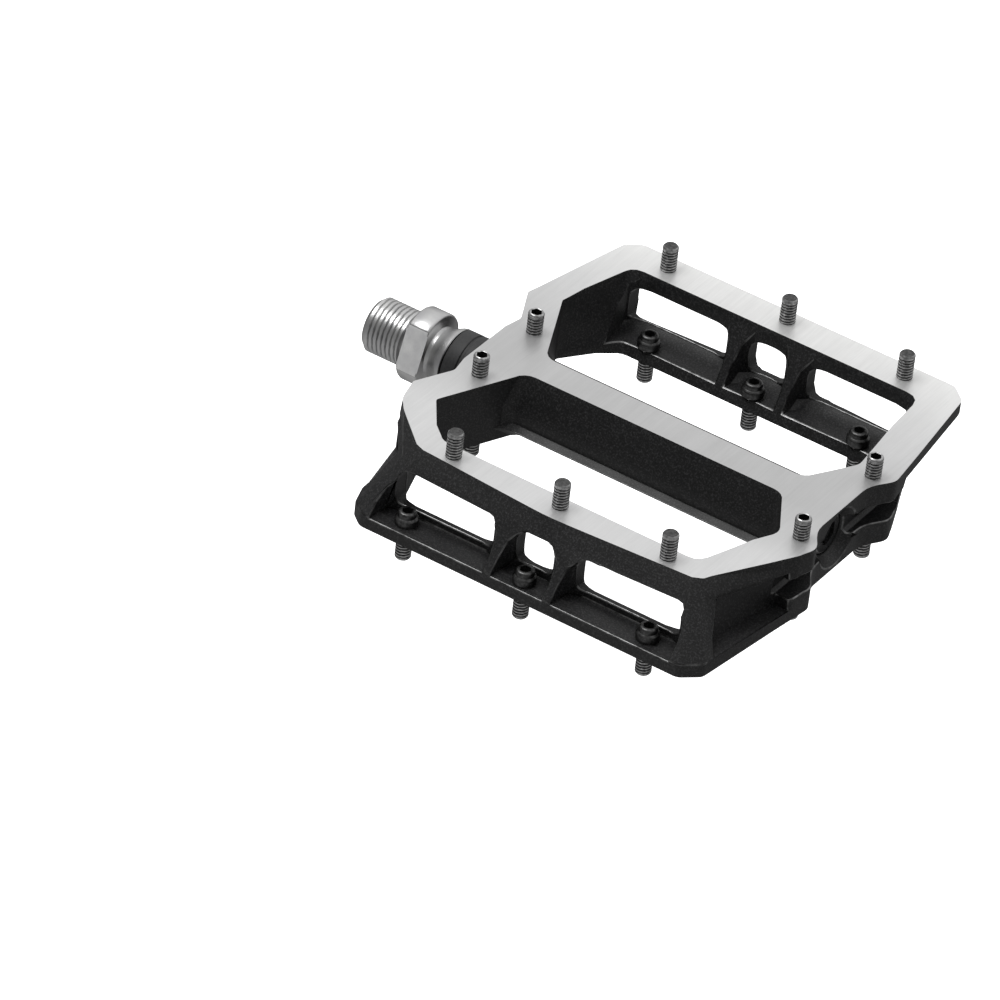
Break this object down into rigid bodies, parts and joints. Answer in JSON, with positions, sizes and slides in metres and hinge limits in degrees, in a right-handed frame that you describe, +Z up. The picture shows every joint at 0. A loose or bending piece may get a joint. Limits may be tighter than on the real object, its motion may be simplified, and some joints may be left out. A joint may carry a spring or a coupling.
{
  "type": "flat bicycle pedal",
  "caption": "Wide flat bicycle pedal: open windowed aluminium cage with traction pins, spinning on a steel axle that screws into a crank arm.",
  "frame": {"origin": "middle of the whole pedal's box, on the axle's axis", "axes": "+X along the axle to the outboard end, +Y to the leading rail, +Z up out of the upper face"},
  "size_m": [0.136, 0.1204, 0.0318],
  "materials": {
    "anodised_cage": "satin black anodised with bright machined top and bottom faces",
    "machined_steel": "machined, polished waist",
    "seal_rubber": "matte",
    "bush_polymer": "matte",
    "bearing_steel": "ground",
    "zinc_steel": "zinc plated",
    "anodised_cap": "satin black anodised",
    "black_steel_pin": "black oxide"
  },
  "bodies": {
    "axle": {"axle": "machined_steel", "axle_nut": "zinc_steel", "axle_washer": "zinc_steel", "bearing_1_inner_race": "bearing_steel", "bearing_2_inner_race": "bearing_steel", "bearing_3_inner_race": "bearing_steel"},
    "cage": {"pedal_cage": "anodised_cage", "axle_seal": "seal_rubber", "axle_bush": "bush_polymer", "end_cap": "anodised_cap", "bearing_1_outer_race": "bearing_steel", "bearing_2_outer_race": "bearing_steel", "bearing_3_outer_race": "bearing_steel", "rail_pin_upper_long_inboard": "black_steel_pin", "rail_pin_upper_long_middle": "black_steel_pin", "rail_pin_upper_long_outboard": "black_steel_pin", "rail_pin_upper_short_inboard": "black_steel_pin", "rail_pin_upper_short_middle": "black_steel_pin", "rail_pin_upper_short_outboard": "black_steel_pin", "rail_pin_lower_long_inboard": "black_steel_pin", "rail_pin_lower_long_middle": "black_steel_pin", "rail_pin_lower_long_outboard": "black_steel_pin", "rail_pin_lower_short_inboard": "black_steel_pin", "rail_pin_lower_short_middle": "black_steel_pin", "rail_pin_lower_short_outboard": "black_steel_pin", "end_pin_upper_inboard_leading": "black_steel_pin", "end_pin_upper_inboard_trailing": "black_steel_pin", "end_pin_upper_outboard_leading": "black_steel_pin", "end_pin_upper_outboard_trailing": "black_steel_pin", "end_pin_lower_inboard_leading": "black_steel_pin", "end_pin_lower_inboard_trailing": "black_steel_pin", "end_pin_lower_outboard_leading": "black_steel_pin", "end_pin_lower_outboard_trailing": "black_steel_pin"},
    "bearing_balls": {"bearing_1_balls": "bearing_steel", "bearing_2_balls": "bearing_steel", "bearing_3_balls": "bearing_steel"}
  },
  "joints": [
    {"name": "pedal_spin", "type": "hinge", "parent": "axle", "child": "cage", "pos_m": [0, 0, 0], "axis": [1, 0, 0], "continuous": true},
    {"name": "ball_spin", "type": "hinge", "parent": "axle", "child": "bearing_balls", "pos_m": [0, 0, 0], "axis": [1, 0, 0], "continuous": true}
  ],
  "couplings": [
    {"joint": "ball_spin", "follows": "pedal_spin", "ratio": 0.6}
  ]
}
